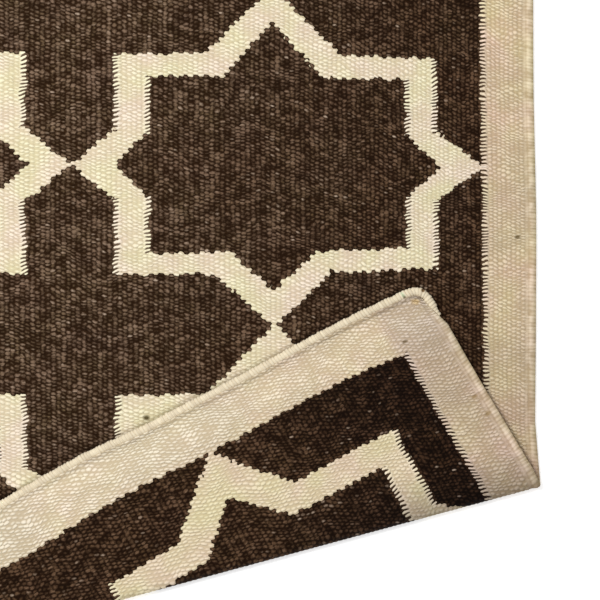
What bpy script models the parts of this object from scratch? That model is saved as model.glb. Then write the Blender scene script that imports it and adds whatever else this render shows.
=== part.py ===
"""A small flat-woven wool rug that lies on a floor with its near right corner turned back.

The rug is first laid out flat, with +X to its right selvedge and +Y to its far end, and
its underside on the plane z = 0. The near right corner is then turned back over the rug,
round a soft bend along a slanting crease. The origin is the middle of the rug, on the floor.
"""

import math

import bmesh
import bpy
from mathutils import Matrix, Vector

# The woven cloth
CLOTH_THICKNESS = 0.0035
NEAR_END_MIDDLE = -0.479
NEAR_END_BOW = 0.0156
FAR_END_MIDDLE = 0.493
FAR_END_BOW = -0.006
HALF_WIDTH = 0.3015

# The near end is drawn in where its whipping was pulled tight: how far, and where across the rug
# that starts, is full, is full until, and ends
DRAWN_IN = 0.0031
DRAWN_IN_PLACES = (0.050, 0.110, 0.162, 0.262)

# The selvedges waver as hand weaving does: place along the rug, left edge, right edge
SELVEDGES = (
    (-0.480, -0.3000, 0.3048),
    (-0.400, -0.3005, 0.3042),
    (-0.325, -0.3010, 0.3050),
    (-0.285, -0.3015, 0.3002),
    (-0.200, -0.3015, 0.3000),
    (-0.150, -0.3012, 0.3008),
    (-0.025, -0.2995, 0.2990),
    (0.200, -0.3010, 0.2980),
    (0.495, -0.2990, 0.3005),
)

# The cord woven into each selvedge: inset from the edge, thickness of the cloth there
SELVEDGE_PROFILE = (
    (0.0000, 0.0014),
    (0.0007, 0.0032),
    (0.0023, 0.0043),
    (0.0040, 0.0037),
    (0.0054, 0.0030),
    (0.0075, CLOTH_THICKNESS),
)
FIELD_COLUMNS = 14
FIELD_ROWS = 19

# The whipping sewn over each end, which turns the corners and runs a little up the selvedges
WHIPPING_WIDTH = 0.0065
WHIPPING_HEIGHT = 0.0050
WHIPPING_SIDES = 10
WHIPPING_STEP = 0.008
WHIPPING_RETURN = 0.012
WHIPPING_CORNER_RADIUS = 0.009
WHIPPING_CORNER_STEPS = 6
WHIPPING_LUMP = 0.05
WHIPPING_LUMP_LENGTH = 0.047
WHIPPING_TIPS = ((0.0012, 0.86), (0.0020, 0.50))  # reach past the end, share of the full size
SEWN_GAP = 0.0003

# The crease: a point on it at the right selvedge, its slope, and how the cloth bends there
CREASE_POINT = Vector((0.3015, -0.3102))
CREASE_SLOPE = math.radians(15.15)
BEND_RADIUS = 0.0032
BEND_STEPS = 10
FLAP_HEIGHT = 0.0072  # of the middle of the flap's cloth, where it has settled
SETTLING_LENGTH = 0.070
SETTLING_STEPS = 6

ALONG_CREASE = Vector((math.cos(CREASE_SLOPE), math.sin(CREASE_SLOPE)))
TO_CORNER = Vector((math.sin(CREASE_SLOPE), -math.cos(CREASE_SLOPE)))
HALF_BEND = math.pi * BEND_RADIUS / 2


def ease(share):
    """Goes smoothly from 0 to 1 as share does."""
    share = min(max(share, 0.0), 1.0)
    return share * share * (3.0 - 2.0 * share)


def selvedge(along, side):
    """The x of the left (side 1) or right (side 2) edge, at a place along the rug."""
    along = min(max(along, SELVEDGES[0][0]), SELVEDGES[-1][0])
    for lower, upper in zip(SELVEDGES, SELVEDGES[1:]):
        if along <= upper[0]:
            share = ease((along - lower[0]) / (upper[0] - lower[0]))
            return lower[side] + (upper[side] - lower[side]) * share
    return SELVEDGES[-1][side]


def drawn_in(x):
    """How far the near end is drawn in at a place across the rug."""
    start, full, until, end = DRAWN_IN_PLACES
    return DRAWN_IN * ease((x - start) / (full - start)) * ease((end - x) / (end - until))


def end_line(x, far):
    """The y of the rug's outer edge at its far or near end."""
    if far:
        return FAR_END_MIDDLE + FAR_END_BOW * (x / HALF_WIDTH) ** 2
    return NEAR_END_MIDDLE + NEAR_END_BOW * (x / HALF_WIDTH) ** 2 + drawn_in(x)


def fold(point):
    """Where a point of the flat rug lies once the corner is turned back."""
    offset = point.xy - CREASE_POINT
    along = offset.dot(ALONG_CREASE)
    past = offset.dot(TO_CORNER)
    height = point.z - CLOTH_THICKNESS / 2
    across = past
    z = point.z
    if past > HALF_BEND:
        beyond = past - HALF_BEND
        across = -HALF_BEND - beyond
        drop = CLOTH_THICKNESS / 2 + 2 * BEND_RADIUS - FLAP_HEIGHT
        settled = ease(beyond / SETTLING_LENGTH)
        z = CLOTH_THICKNESS / 2 + 2 * BEND_RADIUS - height - drop * settled
    elif past > -HALF_BEND:
        angle = (past + HALF_BEND) / BEND_RADIUS
        reach = BEND_RADIUS - height
        across = -HALF_BEND + reach * math.sin(angle)
        z = CLOTH_THICKNESS / 2 + BEND_RADIUS - reach * math.cos(angle)
    place = CREASE_POINT + ALONG_CREASE * along + TO_CORNER * across
    return Vector((place.x, place.y, max(z, 0.0)))


def turn_corner_back(shape):
    """Cuts a flat shape along the lines where it will bend, then folds it."""
    bend = [-HALF_BEND + 2 * HALF_BEND * k / BEND_STEPS for k in range(BEND_STEPS + 1)]
    settling = [HALF_BEND + SETTLING_LENGTH * k / SETTLING_STEPS for k in range(1, SETTLING_STEPS + 1)]
    for past in bend + settling:
        line = CREASE_POINT + TO_CORNER * past
        bmesh.ops.bisect_plane(
            shape,
            geom=shape.verts[:] + shape.edges[:] + shape.faces[:],
            dist=0.00002,
            plane_co=line.to_3d(),
            plane_no=TO_CORNER.to_3d(),
        )
    for vertex in shape.verts:
        vertex.co = fold(vertex.co)


def add_object(name, shape, material):
    """Makes a closed shape into a named object."""
    bmesh.ops.triangulate(shape, faces=shape.faces[:])
    bmesh.ops.recalc_face_normals(shape, faces=shape.faces[:])
    mesh = bpy.data.meshes.new(name)
    shape.to_mesh(mesh)
    shape.free()
    mesh.materials.append(material)
    made = bpy.data.objects.new(name, mesh)
    bpy.context.collection.objects.link(made)
    return made


def wool(name, colour):
    """Dyed or undyed wool: rough, with no shine."""
    material = bpy.data.materials.new(name)
    material.use_nodes = True
    shader = material.node_tree.nodes["Principled BSDF"]
    shader.inputs["Base Color"].default_value = (*colour, 1.0)
    shader.inputs["Roughness"].default_value = 0.95
    shader.inputs["Metallic"].default_value = 0.0
    return material


def column_places(along):
    """The x and the thickness of each column of the cloth, from the left edge to the right."""
    left = selvedge(along, 1)
    right = selvedge(along, 2)
    inset = SELVEDGE_PROFILE[-1][0]
    places = [(left + step, thick) for step, thick in SELVEDGE_PROFILE[:-1]]
    for k in range(FIELD_COLUMNS + 1):
        x = left + inset + (right - left - 2 * inset) * k / FIELD_COLUMNS
        places.append((x, CLOTH_THICKNESS))
    places += [(right - step, thick) for step, thick in reversed(SELVEDGE_PROFILE[:-1])]
    return places


def flat_cloth():
    """The cloth laid out flat, up to the middle of the whipping at each end."""
    shape = bmesh.new()
    rows = []
    for k in range(FIELD_ROWS + 1):
        nominal = NEAR_END_MIDDLE + (FAR_END_MIDDLE - NEAR_END_MIDDLE) * k / FIELD_ROWS
        above = []
        below = []
        for x, thick in column_places(nominal):
            near = end_line(x, False) + WHIPPING_WIDTH / 2
            far = end_line(x, True) - WHIPPING_WIDTH / 2
            y = near + (far - near) * k / FIELD_ROWS
            above.append(shape.verts.new((x, y, (CLOTH_THICKNESS + thick) / 2)))
            below.append(shape.verts.new((x, y, (CLOTH_THICKNESS - thick) / 2)))
        rows.append((above, below))
    last = len(rows[0][0]) - 1
    for (above, below), (next_above, next_below) in zip(rows, rows[1:]):
        for c in range(last):
            shape.faces.new((above[c], above[c + 1], next_above[c + 1], next_above[c]))
            shape.faces.new((below[c], next_below[c], next_below[c + 1], below[c + 1]))
        shape.faces.new((above[0], next_above[0], next_below[0], below[0]))
        shape.faces.new((above[last], below[last], next_below[last], next_above[last]))
    for above, below in (rows[0], rows[-1]):
        for c in range(last):
            shape.faces.new((above[c], above[c + 1], below[c + 1], below[c]))
    return shape


def rounded(before, corner, after):
    """The points of an arc that replaces the corner between two straight runs."""
    back = (before - corner).normalized()
    on = (after - corner).normalized()
    half = back.angle(on) / 2
    centre = corner + (back + on).normalized() * WHIPPING_CORNER_RADIUS / math.sin(half)
    start = corner + back * WHIPPING_CORNER_RADIUS / math.tan(half) - centre
    sweep = start.angle_signed(corner + on * WHIPPING_CORNER_RADIUS / math.tan(half) - centre)
    steps = range(WHIPPING_CORNER_STEPS + 1)
    turns = [Matrix.Rotation(-sweep * k / WHIPPING_CORNER_STEPS, 2) for k in steps]
    return [centre + turn @ start for turn in turns]


def whipping_route(far):
    """The middle line of the whipping, from a little up the left selvedge to the right one."""
    inward = -1 if far else 1
    half = WHIPPING_WIDTH / 2
    reach = WHIPPING_CORNER_RADIUS * 1.3

    def on_end(x):
        return Vector((x, end_line(x, far) + inward * half))

    corner_y = end_line(HALF_WIDTH, far)
    left = selvedge(corner_y, 1) + half
    right = selvedge(corner_y, 2) - half
    rise = Vector((0.0, inward * (WHIPPING_CORNER_RADIUS + WHIPPING_RETURN)))
    left_corner = on_end(left)
    right_corner = on_end(right)
    count = round((right - left - 2 * reach) / WHIPPING_STEP)
    run = [on_end(left + reach + (right - left - 2 * reach) * k / count) for k in range(count + 1)]
    route = [left_corner + rise]
    route += rounded(left_corner + rise, left_corner, run[0])
    route += run
    route += rounded(run[-1], right_corner, right_corner + rise)
    route.append(right_corner + rise)
    return route


def directions(route):
    """The direction of travel at each point of a route."""
    ahead = [(b - a).normalized() for a, b in zip(route, route[1:])]
    middle = [(a + b).normalized() for a, b in zip(ahead, ahead[1:])]
    return [ahead[0], *middle, ahead[-1]]


def flat_whipping(far):
    """The whipped edge as a lumpy rope with round tips, flat on the floor."""
    route = whipping_route(far)
    ways = directions(route)
    travelled = 0.0
    sections = []
    for k, (place, way) in enumerate(zip(route, ways)):
        if k:
            travelled += (place - route[k - 1]).length
        size = 1.0 - WHIPPING_LUMP * (0.5 + 0.5 * math.sin(math.tau * travelled / WHIPPING_LUMP_LENGTH))
        sections.append((place, way, size))
    first_size = sections[0][2]
    last_size = sections[-1][2]
    for reach, share in WHIPPING_TIPS:
        sections.insert(0, (route[0] - ways[0] * reach, ways[0], first_size * share))
        sections.append((route[-1] + ways[-1] * reach, ways[-1], last_size * share))

    shape = bmesh.new()
    rings = []
    for place, way, size in sections:
        side = Vector((way.y, -way.x))
        ring = []
        for k in range(WHIPPING_SIDES):
            angle = math.tau * (k + 0.5) / WHIPPING_SIDES
            out = place + side * math.cos(angle) * size * WHIPPING_WIDTH / 2
            up = WHIPPING_HEIGHT / 2 * (1.0 + size * math.sin(angle))
            ring.append(shape.verts.new((out.x, out.y, up)))
        rings.append(ring)
    for ring, following in zip(rings, rings[1:]):
        for k in range(WHIPPING_SIDES):
            after = (k + 1) % WHIPPING_SIDES
            shape.faces.new((ring[k], ring[after], following[after], following[k]))
    shape.faces.new(rings[0])
    shape.faces.new(rings[-1])
    return shape


def whipping_room(far):
    """What the cloth leaves free for the whipping: a wall beside it, open to the outside."""
    route = whipping_route(far)
    ways = directions(route)
    tip = WHIPPING_TIPS[-1][0] + SEWN_GAP
    route[0] = route[0] - ways[0] * tip
    route[-1] = route[-1] + ways[-1] * tip
    out_side = -1 if far else 1
    inner = []
    outer = []
    for place, way in zip(route, ways):
        side = Vector((way.y, -way.x)) * out_side
        inner.append(place - side * (WHIPPING_WIDTH / 2 + SEWN_GAP))
        outer.append(place + side * WHIPPING_WIDTH * 2)
    shape = bmesh.new()
    floor = [shape.verts.new((p.x, p.y, -CLOTH_THICKNESS)) for p in inner + outer[::-1]]
    face = shape.faces.new(floor)
    top = bmesh.ops.extrude_face_region(shape, geom=[face])["geom"]
    raised = [v for v in top if isinstance(v, bmesh.types.BMVert)]
    bmesh.ops.translate(shape, verts=raised, vec=(0.0, 0.0, CLOTH_THICKNESS * 3))
    return shape


def cut_away(name, shape, rooms):
    """Takes the rooms out of a flat shape and gives back what is left."""
    blank = add_object(name, shape, None)
    for room in rooms:
        cutter = add_object(name + "_room", room, None)
        cut = blank.modifiers.new("room", "BOOLEAN")
        cut.operation = "DIFFERENCE"
        cut.object = cutter
        bpy.context.view_layer.update()
        evaluated = blank.evaluated_get(bpy.context.evaluated_depsgraph_get())
        left_over = bpy.data.meshes.new_from_object(evaluated)
        blank.modifiers.remove(cut)
        blank.data = left_over
        bpy.data.objects.remove(cutter)
    rest = bmesh.new()
    rest.from_mesh(blank.data)
    bpy.data.objects.remove(blank)
    return rest


for old in list(bpy.data.objects):
    bpy.data.objects.remove(old)

rug_wool = wool("rug_wool", (0.16, 0.11, 0.075))
whipping_wool = wool("whipping_wool", (0.78, 0.70, 0.55))

cloth = cut_away("rug_panel", flat_cloth(), [whipping_room(False), whipping_room(True)])
bmesh.ops.triangulate(cloth, faces=cloth.faces[:])
turn_corner_back(cloth)
add_object("rug_panel", cloth, rug_wool)

near_whipping = flat_whipping(False)
turn_corner_back(near_whipping)
add_object("near_end_binding", near_whipping, whipping_wool)
add_object("far_end_binding", flat_whipping(True), whipping_wool)
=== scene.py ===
"""The looks of a small flat-woven wool rug with its near right corner turned back.

The rug is woven flat, in a lattice of warps and weft knuckles, and its corner is then
folded over along a slanting crease. Lengths are in metres and the rug lies as the frame
has it: +X to the right selvedge, +Y to the far end, and the floor at z = 0.
"""

import math

import bmesh
import bpy
from mathutils import Matrix, Vector, noise


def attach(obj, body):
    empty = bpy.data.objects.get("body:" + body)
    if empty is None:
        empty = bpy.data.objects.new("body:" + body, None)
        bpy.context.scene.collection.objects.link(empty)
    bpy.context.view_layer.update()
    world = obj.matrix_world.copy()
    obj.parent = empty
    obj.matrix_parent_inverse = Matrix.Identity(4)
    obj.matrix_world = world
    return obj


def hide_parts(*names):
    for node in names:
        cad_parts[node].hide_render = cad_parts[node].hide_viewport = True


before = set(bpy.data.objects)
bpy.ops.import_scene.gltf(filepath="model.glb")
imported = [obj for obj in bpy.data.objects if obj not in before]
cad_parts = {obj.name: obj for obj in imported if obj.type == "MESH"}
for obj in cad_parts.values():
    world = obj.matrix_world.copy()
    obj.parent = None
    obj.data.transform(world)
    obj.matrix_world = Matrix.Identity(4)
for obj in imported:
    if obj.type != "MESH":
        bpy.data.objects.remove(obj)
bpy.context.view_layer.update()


# The floor, the light and the camera
# A pale matt studio floor under one wide soft light, with a little fill from all round, seen
# from straight above the turned back corner.
VIEW_CENTRE = Vector((0.1475, -0.1886))
VIEW_WIDTH = 0.390
CAMERA_HEIGHT = 2.2
SENSOR_WIDTH = 36.0
FLOOR_SIZE = 8.0
FLOOR_DROP = 0.0002
KEY_PLACE = Vector((-0.50, 0.22, 1.35))
KEY_SIZE = 0.6
KEY_POWER = 19.5
FILL_STRENGTH = 0.50
FLOOR_GLOW = 0.49

floor_mesh = bpy.data.meshes.new("studio_floor")
half_floor = FLOOR_SIZE / 2
turns = ((-1, -1), (1, -1), (1, 1), (-1, 1))
floor_corners = [(x * half_floor, y * half_floor, -FLOOR_DROP) for x, y in turns]
floor_mesh.from_pydata(floor_corners, [], [(0, 1, 2, 3)])
studio_floor = bpy.data.objects.new("studio_floor", floor_mesh)
bpy.context.collection.objects.link(studio_floor)
floor_paint = bpy.data.materials.new("floor_paint")
floor_paint.use_nodes = True
floor_shader = floor_paint.node_tree.nodes["Principled BSDF"]
floor_shader.inputs["Base Color"].default_value = (0.93, 0.93, 0.93, 1.0)
floor_shader.inputs["Roughness"].default_value = 0.9
floor_shader.inputs["Emission Color"].default_value = (1.0, 1.0, 1.0, 1.0)
floor_shader.inputs["Emission Strength"].default_value = FLOOR_GLOW
floor_mesh.materials.append(floor_paint)

key_light = bpy.data.lights.new("key_light", "AREA")
key_light.size = KEY_SIZE
key_light.energy = KEY_POWER
key = bpy.data.objects.new("key_light", key_light)
key.location = KEY_PLACE
key.rotation_mode = "QUATERNION"
key.rotation_quaternion = (VIEW_CENTRE.to_3d() - KEY_PLACE).to_track_quat("-Z", "Y")
key.visible_camera = False
bpy.context.collection.objects.link(key)

surroundings = bpy.data.worlds.new("surroundings")
surroundings.use_nodes = True
surroundings.node_tree.nodes["Background"].inputs["Color"].default_value = (1.0, 1.0, 1.0, 1.0)
surroundings.node_tree.nodes["Background"].inputs["Strength"].default_value = FILL_STRENGTH
bpy.context.scene.world = surroundings
bpy.context.scene.view_settings.view_transform = "Standard"

lens = bpy.data.cameras.new("camera")
lens.sensor_width = SENSOR_WIDTH
lens.lens = SENSOR_WIDTH * CAMERA_HEIGHT / VIEW_WIDTH
camera = bpy.data.objects.new("camera", lens)
camera.location = (VIEW_CENTRE.x, VIEW_CENTRE.y, CAMERA_HEIGHT)
bpy.context.collection.objects.link(camera)
bpy.context.scene.camera = camera


# The woven cloth
# Wool weft packed so tightly over a stout warp that only the weft shows, as ribs of small
# knuckles. It is woven on a loom as one flat web with a thick cord in each selvedge, and its
# corner is then turned back over it.
CLOTH_THICKNESS = 0.0035
NEAR_END = -0.479
FAR_END = 0.493
HALF_WIDTH = 0.3015
CHART_WIDTH = 184  # the design is charted in squares across the rug, and in knuckles along it
BORDER_SQUARES = 10
KNUCKLE = 0.002567
CORD_SQUARES = 2.08
HALF_RIBS = 95
EDGE_RIB = 0.865  # the squares that a rib takes near a selvedge, and in the rug's middle
MIDDLE_RIB = 1.025
CROWDED_RIBS = 22
SPREADING_RIBS = 45
CLOTH_ROWS = 34
UNEVENNESS = 0.00013
RIB_PROFILE = ((0.0, 0.0031), (0.24, 0.0035), (0.5, 0.0037), (0.76, 0.0035))  # place, thickness
CORD_PROFILE = ((0.0, 0.0014), (0.10, 0.0032), (0.34, 0.0043), (0.59, 0.0037), (0.79, 0.0030))

# Place along the rug, then the left edge, left and right of the field, and the right edge
WIDTHS = (
    (-0.480, -0.3000, -0.2680, 0.2704, 0.3050),
    (-0.400, -0.3005, -0.2680, 0.2703, 0.3044),
    (-0.325, -0.3010, -0.2680, 0.2698, 0.3050),
    (-0.285, -0.3015, -0.2685, 0.2682, 0.3002),
    (-0.200, -0.3015, -0.2690, 0.2671, 0.3008),
    (-0.150, -0.3012, -0.2690, 0.2668, 0.3010),
    (-0.025, -0.2995, -0.2680, 0.2653, 0.2990),
    (0.200, -0.3010, -0.2675, 0.2650, 0.2980),
    (0.495, -0.2990, -0.2660, 0.2665, 0.3005),
)

# Place along the rug, and how far the weft there bows back towards the selvedges
BOWS = (
    (-0.4790, 0.0156),
    (-0.4405, 0.0140),
    (-0.3900, 0.0100),
    (-0.1645, 0.0073),
    (-0.0990, -0.0030),
    (-0.0300, -0.0070),
    (0.2000, 0.0020),
    (0.4930, -0.0060),
)

# The near end is drawn in where its whipping was pulled tight: how far, and where across the rug
# that starts, is full, is full until, and ends
DRAWN_IN = 0.0031
DRAWN_IN_PLACES = (0.050, 0.110, 0.162, 0.262)

WHIPPING_WIDTH = 0.0065
WHIPPING_HEIGHT = 0.0050
WHIPPING_COVER = 0.0051  # how far in from the end the cloth comes out from under the whipping
WHIPPING_RETURN = 0.012
CORNER_RADIUS = 0.009
SIDE_FADE = 0.006

CREASE_POINT = Vector((0.3015, -0.3102))
CREASE_SLOPE = math.radians(15.15)
BEND_RADIUS = 0.0032
BEND_STEPS = 10
FLAP_HEIGHT = 0.0072
SETTLING_LENGTH = 0.070
SETTLING_STEPS = 6
CUT_REACH = 0.05
ALONG_CREASE = Vector((math.cos(CREASE_SLOPE), math.sin(CREASE_SLOPE)))
TO_CORNER = Vector((math.sin(CREASE_SLOPE), -math.cos(CREASE_SLOPE)))
HALF_BEND = math.pi * BEND_RADIUS / 2


def ease(share):
    """Goes smoothly from 0 to 1 as share does."""
    share = min(max(share, 0.0), 1.0)
    return share * share * (3.0 - 2.0 * share)


def read_table(table, along, column):
    """A column of a table that is kept by place along the rug, eased between its rows."""
    along = min(max(along, table[0][0]), table[-1][0])
    for lower, upper in zip(table, table[1:]):
        if along <= upper[0]:
            share = ease((along - lower[0]) / (upper[0] - lower[0]))
            return lower[column] + (upper[column] - lower[column]) * share
    return table[-1][column]


def across_rug(square, along):
    """The x of a place across the chart, at a place along the rug."""
    left, field_left, field_right, right = (read_table(WIDTHS, along, c) for c in (1, 2, 3, 4))
    if square < BORDER_SQUARES:
        return left + (field_left - left) * square / BORDER_SQUARES
    if square > CHART_WIDTH - BORDER_SQUARES:
        past_field = square - CHART_WIDTH + BORDER_SQUARES
        return field_right + (right - field_right) * past_field / BORDER_SQUARES
    share = (square - BORDER_SQUARES) / (CHART_WIDTH - 2 * BORDER_SQUARES)
    return field_left + (field_right - field_left) * share


def fold(point):
    """Where a point of the flat rug lies once the corner is turned back."""
    offset = point.xy - CREASE_POINT
    along = offset.dot(ALONG_CREASE)
    past = offset.dot(TO_CORNER)
    height = point.z - CLOTH_THICKNESS / 2
    across = past
    z = point.z
    if past > HALF_BEND:
        beyond = past - HALF_BEND
        across = -HALF_BEND - beyond
        drop = CLOTH_THICKNESS / 2 + 2 * BEND_RADIUS - FLAP_HEIGHT
        settled = ease(beyond / SETTLING_LENGTH)
        z = CLOTH_THICKNESS / 2 + 2 * BEND_RADIUS - height - drop * settled
    elif past > -HALF_BEND:
        angle = (past + HALF_BEND) / BEND_RADIUS
        reach = BEND_RADIUS - height
        across = -HALF_BEND + reach * math.sin(angle)
        z = CLOTH_THICKNESS / 2 + BEND_RADIUS - reach * math.cos(angle)
    place = CREASE_POINT + ALONG_CREASE * along + TO_CORNER * across
    return Vector((place.x, place.y, max(z, 0.0)))


def drawn_in(x):
    """How far the near end is drawn in at a place across the rug."""
    start, full, until, end = DRAWN_IN_PLACES
    return DRAWN_IN * ease((x - start) / (full - start)) * ease((end - x) / (end - until))


def tuck_under_whipping(x, y):
    """Draws the cloth's corners in, so that the whipping covers them."""
    side = 1 if x > 0 else -1
    far = y > 0
    inward = -1 if far else 1
    radius = CORNER_RADIUS + WHIPPING_WIDTH / 2 - WHIPPING_COVER
    edge = abs(read_table(WIDTHS, FAR_END if far else NEAR_END, 4 if x > 0 else 1))
    covered = edge - WHIPPING_COVER
    end = FAR_END + BOWS[-1][1] - WHIPPING_COVER if far else NEAR_END + BOWS[0][1] + WHIPPING_COVER
    up = (y - end) * inward
    reach = radius + WHIPPING_RETURN
    limit = covered + WHIPPING_COVER * ease((up - reach) / SIDE_FADE)
    if up < reach + SIDE_FADE:
        x = side * min(abs(x), limit)
    aside = abs(x) - (covered - radius)
    below = radius - up
    if aside > 0 and below > 0 and math.hypot(aside, below) > radius:
        shrink = radius / math.hypot(aside, below)
        x = side * (covered - radius + aside * shrink)
        y = end + inward * (radius - below * shrink)
    return x, y


def rib_edges():
    """Where each rib starts on the chart: they crowd together towards the selvedges' cords."""
    spread = MIDDLE_RIB - EDGE_RIB
    ribs = [EDGE_RIB + spread * ease((k - CROWDED_RIBS) / SPREADING_RIBS) for k in range(HALF_RIBS)]
    fitted = (CHART_WIDTH / 2 - CORD_SQUARES) / sum(ribs)
    half = [0.0, CORD_SQUARES]
    for rib in ribs:
        half.append(half[-1] + rib * fitted)
    return half + [CHART_WIDTH - place for place in reversed(half[:-1])]


def cloth_columns():
    """Each column of the cloth: its place in ribs and on the chart, a rib's width, its thickness."""
    edges = rib_edges()
    last = len(edges) - 2
    mirrored_cord = [(1.0 - place, thick) for place, thick in reversed(CORD_PROFILE[1:])]
    columns = []
    for rib in range(last + 1):
        width = edges[rib + 1] - edges[rib]
        profile = {0: CORD_PROFILE, last: [RIB_PROFILE[0], *mirrored_cord]}.get(rib, RIB_PROFILE)
        for place, thick in profile:
            columns.append((rib + place, edges[rib] + width * place, min(width, MIDDLE_RIB), thick))
    columns.append((last + 1.0, float(CHART_WIDTH), EDGE_RIB, CORD_PROFILE[0][1]))
    return columns


flat = bmesh.new()
layers = {name: flat.verts.layers.float.new(name) for name in ("rib", "square", "width", "knuckle")}
side_layer = flat.faces.layers.int.new("side")
columns = cloth_columns()
cloth_near = NEAR_END + WHIPPING_COVER
cloth_far = FAR_END - WHIPPING_COVER
rows = []
for row in range(CLOTH_ROWS + 1):
    along = cloth_near + (cloth_far - cloth_near) * row / CLOTH_ROWS
    bow = read_table(BOWS, along, 1)
    above = []
    below = []
    for rib, square, width, thick in columns:
        x = across_rug(square, along)
        drawn = 0.0 if row else drawn_in(x)
        x, y = tuck_under_whipping(x, along + bow * (x / HALF_WIDTH) ** 2 + drawn)
        half = thick / 2 + UNEVENNESS * noise.noise(Vector((rib * 0.9, along * 28.0, 0.0)))
        for side, kept in ((1, above), (-1, below)):
            vertex = flat.verts.new((x, y, CLOTH_THICKNESS / 2 + side * half))
            vertex[layers["rib"]] = rib
            vertex[layers["square"]] = square
            vertex[layers["width"]] = width
            vertex[layers["knuckle"]] = (along - NEAR_END) / KNUCKLE
            kept.append(vertex)
    rows.append((above, below))
last = len(columns) - 1
for (above, below), (next_above, next_below) in zip(rows, rows[1:]):
    for c in range(last):
        flat.faces.new((above[c], above[c + 1], next_above[c + 1], next_above[c]))[side_layer] = 1
        flat.faces.new((below[c], next_below[c], next_below[c + 1], below[c + 1]))[side_layer] = 2
    flat.faces.new((above[0], next_above[0], next_below[0], below[0]))
    flat.faces.new((above[last], below[last], next_below[last], next_above[last]))
for above, below in (rows[0], rows[-1]):
    for c in range(last):
        flat.faces.new((above[c], below[c], below[c + 1], above[c + 1]))

bend_lines = [-HALF_BEND + 2 * HALF_BEND * k / BEND_STEPS for k in range(BEND_STEPS + 1)]
for k in range(1, SETTLING_STEPS + 1):
    bend_lines.append(HALF_BEND + SETTLING_LENGTH * k / SETTLING_STEPS)
for beyond in bend_lines:
    line = CREASE_POINT + TO_CORNER * beyond
    near_line = [
        face for face in flat.faces
        if abs((face.calc_center_median().xy - line).dot(TO_CORNER)) < CUT_REACH
    ]
    edges = {edge for face in near_line for edge in face.edges}
    vertices = {vertex for face in near_line for vertex in face.verts}
    bmesh.ops.bisect_plane(
        flat,
        geom=[*vertices, *edges, *near_line],
        dist=0.00001,
        plane_co=line.to_3d(),
        plane_no=TO_CORNER.to_3d(),
    )
for vertex in flat.verts:
    vertex.co = fold(vertex.co)
bmesh.ops.recalc_face_normals(flat, faces=flat.faces[:])

weave_map = flat.loops.layers.uv.new("weave")
chart_map = flat.loops.layers.uv.new("chart")
bake_map = flat.loops.layers.uv.new("OFBake")
BAKE_MARGIN = 0.004
total_knuckles = (FAR_END - NEAR_END) / KNUCKLE
for face in flat.faces:
    start = BAKE_MARGIN if face[side_layer] < 2 else 0.5 + BAKE_MARGIN
    way = -1.0 if face[side_layer] == 2 else 1.0
    for loop in face.loops:
        rib, square, width, knuckle = (loop.vert[layer] for layer in layers.values())
        loop[weave_map].uv = (rib, knuckle)
        loop[chart_map].uv = (square, way * width)
        u = start + (0.5 - 2 * BAKE_MARGIN) * square / CHART_WIDTH
        v = BAKE_MARGIN + (1.0 - 2 * BAKE_MARGIN) * knuckle / total_knuckles
        loop[bake_map].uv = (u, v)
cloth_mesh = bpy.data.meshes.new("woven_cloth")
flat.to_mesh(cloth_mesh)
flat.free()
cloth_mesh.shade_smooth()
woven_cloth = bpy.data.objects.new("woven_cloth", cloth_mesh)
bpy.context.collection.objects.link(woven_cloth)

wool = bpy.data.materials.new("woven_wool")
wool.use_nodes = True
weave = wool.node_tree
shader = weave.nodes["Principled BSDF"]


def join(value, socket):
    """Links an output to a socket, or sets a number or a colour on it."""
    if isinstance(value, (int, float)):
        socket.default_value = value
    elif isinstance(value, tuple):
        socket.default_value = (*value, 1.0)
    else:
        weave.links.new(value, socket)


def calc(operation, *values, clamp=False):
    """A math node on sockets and numbers."""
    node = weave.nodes.new("ShaderNodeMath")
    node.operation = operation
    node.use_clamp = clamp
    for socket, value in zip(node.inputs, values):
        join(value, socket)
    return node.outputs[0]


def place_of(across, along):
    """Two values joined into a vector."""
    node = weave.nodes.new("ShaderNodeCombineXYZ")
    join(across, node.inputs[0])
    join(along, node.inputs[1])
    return node.outputs[0]


def random_of(across, along):
    """An even random number from 0 to 1 for each place."""
    node = weave.nodes.new("ShaderNodeTexWhiteNoise")
    node.noise_dimensions = "2D"
    join(place_of(across, along), node.inputs["Vector"])
    return node.outputs["Value"]


def cloudy(across, along, detail=2.0):
    """Soft noise about 0 over a plane, from -0.5 to 0.5."""
    node = weave.nodes.new("ShaderNodeTexNoise")
    node.noise_dimensions = "2D"
    node.inputs["Scale"].default_value = 1.0
    node.inputs["Detail"].default_value = detail
    join(place_of(across, along), node.inputs["Vector"])
    return calc("SUBTRACT", node.outputs["Fac"], 0.5)


def cloud(width, length, detail=2.0, shift=0.0):
    """Soft noise whose patches are so many ribs wide and knuckles long."""
    across = calc("MULTIPLY_ADD", rib_place, 1.0 / width, shift)
    return cloudy(across, calc("MULTIPLY", knuckle_place, 1.0 / length), detail)


def blend(share, first, second, way="MIX"):
    """Mixes two colours."""
    node = weave.nodes.new("ShaderNodeMix")
    node.data_type = "RGBA"
    node.blend_type = way
    join(share, node.inputs[0])
    join(first, node.inputs[6])
    join(second, node.inputs[7])
    return node.outputs[2]


def tinted(share, first, tint):
    """A colour multiplied by a tint, where the share is 1."""
    return blend(share, first, blend(1.0, first, tint, "MULTIPLY"))


def choose(test, no, yes):
    """The first value where a test gives 0, and the second where it gives 1."""
    return calc("MULTIPLY_ADD", test, calc("SUBTRACT", yes, no), no)


def dyed(red, green, blue):
    """A colour as seen on a screen, from 0 to 255, as the light it gives back."""
    return tuple(((c / 255 + 0.055) / 1.055) ** 2.4 for c in (red, green, blue))


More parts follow.
